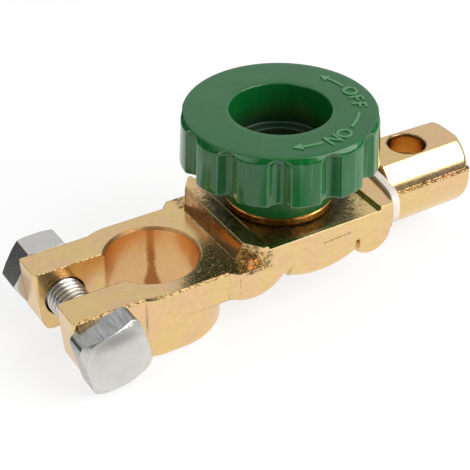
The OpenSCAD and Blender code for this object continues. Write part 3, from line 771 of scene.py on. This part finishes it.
def arc(r, z, radius, start, end, parts):
    """Points of a rounding in an outline, from one angle in degrees to another"""
    return [
        (r + radius * math.cos(math.radians(start + (end - start) * i / parts)),
         z + radius * math.sin(math.radians(start + (end - start) * i / parts)))
        for i in range(parts + 1)]


def blend(first, second, width):
    """The smaller of two values, with the crease between them rounded"""
    near = max(width - abs(first - second), 0) / width
    return min(first, second) - near * near * width / 4


def cut_off(piece, point, normal):
    """Cuts a piece at a plane, drops what the normal points at and closes the cut"""
    with editing(piece):
        bpy.ops.mesh.bisect(plane_co=point, plane_no=normal, use_fill=True, clear_outer=True)


def threaded_rod(radius, depth, pitch, length):
    """A threaded rod up along Z from the origin, its far end chamfered"""
    root = radius - depth
    rod = traced((root, -2 * pitch), [(depth * out, pitch * up) for out, up in THREAD])
    screw = rod.modifiers.new("thread", "SCREW")
    screw.axis = "Z"
    screw.steps = screw.render_steps = THREAD_STEPS
    screw.screw_offset = pitch
    screw.iterations = int(length / pitch) + 4
    screw.use_merge_vertices = True
    screw.merge_threshold = THREAD_WELD
    bpy.ops.object.modifier_apply(modifier=screw.name)
    with editing(rod):
        bpy.ops.mesh.remove_doubles(threshold=THREAD_WELD)
    cut_off(rod, (0, 0, 0), (0, 0, -1))
    cut_off(rod, (0, 0, length), (0, 0, 1))
    with editing(rod):
        bpy.ops.mesh.normals_make_consistent(inside=False)
    for vertex in rod.data.vertices:
        rise = vertex.co.z - (length - 0.6 * pitch)
        reach = math.hypot(vertex.co.x, vertex.co.y)
        if rise > 0 and reach > radius - rise > 0:
            vertex.co.x *= max(radius - rise, root) / reach
            vertex.co.y *= max(radius - rise, root) / reach
    shade(rod, 50)
    return rod


# Operators

class BuildClampCasting(bpy.types.Operator):
    """Dresses the cast clamp with the switch block"""
    bl_idname = "switch.clamp_casting"
    bl_label = "Clamp casting"

    def execute(self, context):
        look = context.scene.switch_casting
        dress("clamp_body", gold_plating(look, "gold_plating"))
        return {"FINISHED"}


class BuildCablePost(bpy.types.Operator):
    """Dresses the tongue and the cable post like the casting"""
    bl_idname = "switch.cable_post"
    bl_label = "Cable post"

    def execute(self, context):
        dress("cable_terminal", bpy.data.materials["gold_plating"])
        return {"FINISHED"}


class BuildInsulators(bpy.types.Operator):
    """Dresses the nylon liner with its collar, and the plate"""
    bl_idname = "switch.insulators"
    bl_label = "Insulators"

    def execute(self, context):
        nylon = milky_nylon(context.scene.switch_nylon, "milky_nylon")
        dress("insulator_liner", nylon)
        dress("base_insulator", nylon)
        return {"FINISHED"}


class BuildClampBolt(bpy.types.Operator):
    """Dresses the clamp bolt's head and its nut, and cuts the bolt's thread"""
    bl_idname = "switch.clamp_bolt"
    bl_label = "Clamp bolt and nut"

    def execute(self, context):
        look = context.scene.switch_steel
        zinc = zinc_plating(look, "bright_zinc")
        head = merged_copy("clamp_bolt", "bolt_head", zinc)
        cut_off(head, (0, -EAR_FACE + 0.3 * MM, 0), (0, 1, 0))
        shade(head, 30)
        finish_piece(head, "bolt", "zinc_steel", "clamp_bolt")
        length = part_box("clamp_bolt")[1].y + EAR_FACE
        thread = threaded_rod(BOLT_RADIUS, look.depth, look.pitch, length)
        thread.rotation_euler = (-math.pi / 2, 0, 0)
        thread.location = (BOLT_AXIS.x, -EAR_FACE, BOLT_AXIS.z)
        settle(thread, "bolt_thread", zinc)
        finish_piece(thread, "bolt", "zinc_steel")
        dress("clamp_nut", zinc)
        return {"FINISHED"}


class BuildContact(bpy.types.Operator):
    """Dresses the contact washer and the screw's head, and cuts the screw's thread"""
    bl_idname = "switch.contact"
    bl_label = "Contact washer and screw"

    def execute(self, context):
        look = context.scene.switch_contact
        metal = contact_metal(look, "contact_metal")
        dress("contact_washer", metal)
        head = merged_copy("contact_screw", "screw_head", metal)
        cut_off(head, (0, 0, SCREW_HEAD_LOW - 1 * MM), (0, 0, -1))
        shade(head, 30)
        finish_piece(head, "knob", "contact_brass", "contact_screw")
        start = SCREW_HEAD_LOW - 0.5 * MM
        thread = threaded_rod(SCREW_RADIUS, look.depth, look.pitch, start - SCREW_LOW)
        thread.rotation_euler = (math.pi, 0, 0)
        thread.location = (KNOB_AXIS.x, KNOB_AXIS.y, start)
        settle(thread, "screw_thread", metal)
        finish_piece(thread, "knob", "contact_brass")
        return {"FINISHED"}


class BuildKnob(bpy.types.Operator):
    """Turns the green knob and presses the lobes and scoops into its grip"""
    bl_idname = "switch.knob"
    bl_label = "Knob"

    def grip_radius(self, look, angle, drop):
        """The grip's radius at an angle from a lobe's middle and a drop from the top"""
        half_pitch = math.pi / look.lobes
        half_scoop = look.scoop_width / 2 / look.radius
        lobe_fall, dome, dome_drop = 0.15 * MM, 1.7 * MM, 0.35 * MM
        lobe = look.radius - lobe_fall * (angle / (half_pitch - half_scoop)) ** 2
        side = (half_pitch - abs(angle)) / half_scoop
        short = min(max(dome + dome_drop - drop, 0), dome)
        closing = dome - math.sqrt(dome * dome - short * short)
        scoop = look.radius + look.scoop * (side * side - 1) + closing
        chamfer = look.rim + drop * 0.55
        grip = blend(blend(lobe, scoop, 0.22 * MM), chamfer, 0.2 * MM)
        return grip + look.draft * drop / look.grip

    def outline(self, look, wide):
        """The knob's outline; the grip's rows stand at wide, less their roundings"""
        foot = KNOB_TOP - look.grip
        floor = KNOB_TOP - look.well_depth
        play = SCREW_RADIUS + 0.05 * MM
        boss, grip, top = 0.3 * MM, 0.6 * MM, 0.25 * MM
        lip, well, recess = 0.35 * MM, 0.5 * MM, 0.2 * MM
        return (
            [(play, KNOB_LOW), (look.boss - boss, KNOB_LOW)]
            + arc(look.boss - boss, KNOB_LOW + boss, boss, -90, 0, 3)[1:]
            + [(look.boss, foot - 0.4 * MM), (look.boss + 0.4 * MM, foot),
               (wide - 2.5 * MM, foot)]
            + arc(wide - grip, foot + grip, grip, -90, 0, 5)
            + [(wide, foot + grip + i * MM) for i in range(1, 8)]
            + [(wide, KNOB_TOP - i * 0.13 * MM) for i in range(20, 1, -1)]
            + arc(wide - top, KNOB_TOP - top, top, 0, 90, 4)
            + [(wide - 1.2 * MM, KNOB_TOP), (wide - 5 * MM, KNOB_TOP),
               (look.well + 1.5 * MM, KNOB_TOP)]
            + arc(look.well + lip, KNOB_TOP - lip, lip, 90, 180, 4)
            + [(look.well, floor + 4 * MM)]
            + arc(look.well - well, floor + well, well, 0, -90, 4)
            + arc(look.recess + recess, floor - recess, recess, 90, 180, 2)
            + [(look.recess, SCREW_HEAD_TOP), (HEX_REACH, SCREW_HEAD_TOP),
               (HEX_REACH, SCREW_HEAD_LOW), (play, SCREW_HEAD_LOW)])

    def execute(self, context):
        look = context.scene.switch_knob
        plastic = green_plastic(look, "green_plastic")
        wide = look.radius + 1 * MM
        outline = self.outline(look, wide)
        steps = [
            (r1 - r0, z1 - z0)
            for (r0, z0), (r1, z1) in zip(outline, outline[1:] + outline[:1])]
        knob = spun(traced(outline[0], steps), look.lobes * LOBE_STEPS, 2 * math.pi, (0, 0, 0))
        pitch = 2 * math.pi / look.lobes
        for vertex in knob.data.vertices:
            reach = math.hypot(vertex.co.x, vertex.co.y)
            turn = math.atan2(vertex.co.y, vertex.co.x)
            if reach > wide - 3 * MM:
                angle = (turn - LOBE_TURN + pitch / 2) % pitch - pitch / 2
                new = self.grip_radius(look, angle, KNOB_TOP - vertex.co.z) - (wide - reach)
            elif abs(reach - HEX_REACH) < 0.01 * MM:
                new = HEX_REACH * math.cos(HEX_HALF) / math.cos(turn % (2 * HEX_HALF) - HEX_HALF)
            else:
                new = reach
            vertex.co.x *= new / reach
            vertex.co.y *= new / reach
        knob.location = (KNOB_AXIS.x, KNOB_AXIS.y, 0)
        settle(knob, "knob_moulding", plastic)
        shade(knob, 50)
        finish_piece(knob, "knob", "green_plastic", "knob")
        return {"FINISHED"}


class BuildKnobMarks(bpy.types.Operator):
    """Raises ON, OFF and their arrows on the knob's top"""
    bl_idname = "switch.knob_marks"
    bl_label = "Knob marks"

    def spot(self, look, angle):
        """An angle on the ring of marks in radians, and its place on the knob's top"""
        turn = math.radians(angle)
        return turn, Vector((
            KNOB_AXIS.x + look.mark_radius * math.cos(turn),
            KNOB_AXIS.y + look.mark_radius * math.sin(turn), KNOB_TOP))

    def letter(self, look, character, angle):
        """One raised letter whose head points outwards"""
        bpy.ops.object.select_all(action="DESELECT")
        bpy.ops.object.text_add(location=(0, 0, 0))
        text = bpy.context.active_object.data
        text.body = character
        text.align_x = text.align_y = "CENTER"
        text.size = look.mark_height / CAPITAL
        text.extrude = look.mark_rise
        text.bevel_depth = 0.05 * MM
        text.bevel_resolution = 1
        bpy.ops.object.convert(target="MESH")
        letter = bpy.context.active_object
        turn, letter.location = self.spot(look, angle)
        letter.rotation_euler = (0, 0, turn - math.pi / 2)
        return letter

    def bar(self, look, start, end):
        """A raised bar along the ring of marks"""
        bpy.ops.object.select_all(action="DESELECT")
        turn, spot = self.spot(look, start)
        bpy.ops.mesh.primitive_plane_add(size=1, location=spot, rotation=(math.pi / 2, 0, turn))
        bar = bpy.context.active_object
        bar.scale = (look.mark_width, 2 * look.mark_rise, 1)
        bpy.ops.object.transform_apply(location=True, rotation=True, scale=True)
        return spun(
            bar, 12, math.radians(start - end), (KNOB_AXIS.x, KNOB_AXIS.y, KNOB_TOP))

    def arrow_head(self, look, angle, way):
        """A raised triangle; way is 1 for anticlockwise and -1 for clockwise"""
        bpy.ops.object.select_all(action="DESELECT")
        turn, spot = self.spot(look, angle)
        bpy.ops.mesh.primitive_cylinder_add(
            vertices=3, radius=look.arrow_radius, depth=2 * look.mark_rise, location=spot,
            rotation=(0, 0, turn if way > 0 else turn + math.pi))
        return bpy.context.active_object

    def execute(self, context):
        look = context.scene.switch_knob
        parts = [self.letter(look, character, angle) for character, angle in LETTERS]
        for start, end, head, way in ARROWS:
            parts += [self.bar(look, start, end), self.arrow_head(look, head, way)]
        parts.append(self.bar(look, *BETWEEN))
        only(*parts)
        bpy.ops.object.transform_apply(location=True, rotation=True, scale=True)
        bpy.ops.object.join()
        plastic = bpy.data.materials["green_plastic"]
        marks = settle(bpy.context.active_object, "knob_marks", plastic)
        shade(marks, 40)
        finish_piece(marks, "knob", "green_plastic")
        return {"FINISHED"}


class BuildStage(bpy.types.Operator):
    """Sets the camera, the pale floor, the background and the lights"""
    bl_idname = "switch.stage"
    bl_label = "Stage"

    def execute(self, context):
        look = context.scene.switch_stage
        scene = context.scene
        scene.view_settings.view_transform = "Standard"
        self.camera(scene, look)
        self.floor(look)
        self.world(scene, look)
        self.lamps(look)
        return {"FINISHED"}

    def camera(self, scene, look):
        """The camera at the photograph's viewing angle"""
        bpy.ops.object.camera_add(location=tuple(look.eye))
        camera = bpy.context.active_object
        camera.name = "camera"
        camera.data.lens = look.lens
        camera.data.sensor_width = 36
        camera.data.clip_start = 0.01
        right = Vector((0.8558, -0.5173, 0.0)).normalized()
        ahead = Vector((0.42549, 0.70384, -0.56883)).normalized()
        up = right.cross(ahead).normalized()
        turn = Matrix((right, up, -ahead)).transposed()
        camera.rotation_euler = turn.to_euler()
        scene.camera = camera

    def floor(self, look):
        """A pale floor, white to the camera; parts of it are dark where metal mirrors them"""
        bpy.ops.object.select_all(action="DESELECT")
        bpy.ops.mesh.primitive_grid_add(
            x_subdivisions=look.columns, y_subdivisions=look.columns, size=look.floor,
            location=(0, 0, CAD_LOW.z - 0.05 * MM))
        floor = bpy.context.active_object
        m = Finish(bpy.data.materials.new("pale_floor"))
        x, y = m.axes(m.place())[:2]
        glossy = m.ray("Glossy")
        seen = m.ray("Camera").most(glossy).most(m.ray("Transmission"))
        far = m.ease(m.reach(x, y), 140, 420)
        behind = m.ease((y - x) * math.sqrt(0.5), 50, 85)
        before = m.fade(m.reach((x + 1) * 0.8, y + 66), 12, 31)
        dim = far.most(behind).most(before * 0.88) * glossy
        lit = m.node("ShaderNodeBsdfDiffuse", None, {
            0: m.colour(dim, (0.28, 0.28, 0.28), (0.03, 0.03, 0.03))})
        own = m.node("ShaderNodeEmission", None, {
            0: m.colour(dim, WHITE, (0.06, 0.06, 0.065)), 1: 0.75})
        shown = m.node("ShaderNodeAddShader", None, {0: lit, 1: own})
        plain = m.node("ShaderNodeBsdfDiffuse", None, {0: (0.75, 0.75, 0.74, 1)})
        m.end(m.node("ShaderNodeMixShader", None, {0: seen, 1: plain, 2: shown}))
        m.owner.cycles.emission_sampling = "NONE"
        settle(floor, "floor", m.owner)

    def world(self, scene, look):
        """White to the camera, white with dark cards in reflections, and plainer as a light"""
        scene.world = bpy.data.worlds.new("studio")
        m = Finish(scene.world, "ShaderNodeOutputWorld")
        scene.world.cycles.sampling_method = "NONE"
        way = m.node("ShaderNodeTexCoord", output="Generated")
        x, y, z = m.axes(way)
        cards = m.colour(m.ease(y, -0.2, 0.5) * 0.55, WHITE, (0.62, 0.63, 0.66))
        cards = m.colour(m.fade(z, 0.08, 0.26) * 0.95, cards, (0.05, 0.055, 0.065))
        left = m.ease(x * -1, 0.3, 0.6) * m.ease(y, 0.15, 0.45) * m.fade(z, 0.28, 0.5)
        cards = m.colour(left * 0.95, cards, (0.05, 0.055, 0.07))
        front = m.dot(way, tuple(Vector((-0.47, -0.78, 0.42)).normalized()))
        cards = m.colour(m.ease(front, 0.68, 0.88), cards, (0.05, 0.05, 0.055))
        ambient = m.colour(m.ease(front, 0.45, 0.85) * 0.9, WHITE, (0.1, 0.1, 0.1))
        plain = m.node("ShaderNodeBackground", None, {0: ambient, 1: look.fill})
        mirror = m.node("ShaderNodeBackground", None, {0: cards, 1: 1.0})
        white = m.node("ShaderNodeBackground", None, {0: (*WHITE, 1), 1: 1.0})
        unseen = m.node("ShaderNodeMixShader", None, {0: m.ray("Glossy"), 1: plain, 2: mirror})
        m.end(m.node("ShaderNodeMixShader", None, {0: m.ray("Camera"), 1: unseen, 2: white}))

    def lamps(self, look):
        """One large soft lamp from the right front and a weak one from the left"""
        middle = (CAD_LOW + CAD_HIGH) / 2
        for name, way, far, size, power in (
                ("key_lamp", (0.48, -0.66, 0.58), 0.55, 0.48, look.key_power),
                ("side_lamp", (-0.85, -0.25, 0.45), 0.6, 0.3, look.side_power)):
            away = Vector(way).normalized()
            bpy.ops.object.light_add(type="AREA", location=middle + away * far)
            lamp = bpy.context.active_object
            lamp.name = name
            lamp.data.shape = "SQUARE"
            lamp.data.size = size
            lamp.data.energy = power
            lamp.rotation_euler = away.to_track_quat("Z", "Y").to_euler()


class SwitchPanel(bpy.types.Panel):
    """Lists what the switch is made of"""
    bl_idname = "VIEW3D_PT_switch"
    bl_label = "Battery disconnect switch"
    bl_space_type = "VIEW_3D"
    bl_region_type = "UI"
    bl_category = "Switch"

    def draw(self, context):
        layout = self.layout
        for look in LOOKS:
            box = layout.box()
            group = getattr(context.scene, look)
            for name in group.__annotations__:
                box.prop(group, name)
        for operator in OPERATORS:
            layout.operator(operator.bl_idname)


LOOKS = {
    "switch_casting": CastingLook,
    "switch_steel": SteelLook,
    "switch_contact": ContactLook,
    "switch_nylon": NylonLook,
    "switch_knob": KnobLook,
    "switch_stage": StageLook,
}
OPERATORS = (
    BuildClampCasting, BuildCablePost, BuildInsulators, BuildClampBolt, BuildContact,
    BuildKnob, BuildKnobMarks, BuildStage,
)


def register():
    """Registers the classes and the scene's settings"""
    for group in LOOKS.values():
        bpy.utils.register_class(group)
    for operator in OPERATORS:
        bpy.utils.register_class(operator)
    bpy.utils.register_class(SwitchPanel)
    for name, group in LOOKS.items():
        setattr(bpy.types.Scene, name, PointerProperty(type=group))


def unregister():
    """Takes everything back that register adds"""
    for name in LOOKS:
        delattr(bpy.types.Scene, name)
    bpy.utils.unregister_class(SwitchPanel)
    for operator in reversed(OPERATORS):
        bpy.utils.unregister_class(operator)
    for group in reversed(list(LOOKS.values())):
        bpy.utils.unregister_class(group)


def main():
    """Builds the whole switch and its stage"""
    register()
    bpy.ops.switch.clamp_casting()
    bpy.ops.switch.cable_post()
    bpy.ops.switch.insulators()
    bpy.ops.switch.clamp_bolt()
    bpy.ops.switch.contact()
    bpy.ops.switch.knob()
    bpy.ops.switch.knob_marks()
    bpy.ops.switch.stage()


if __name__ == "__main__":
    main()
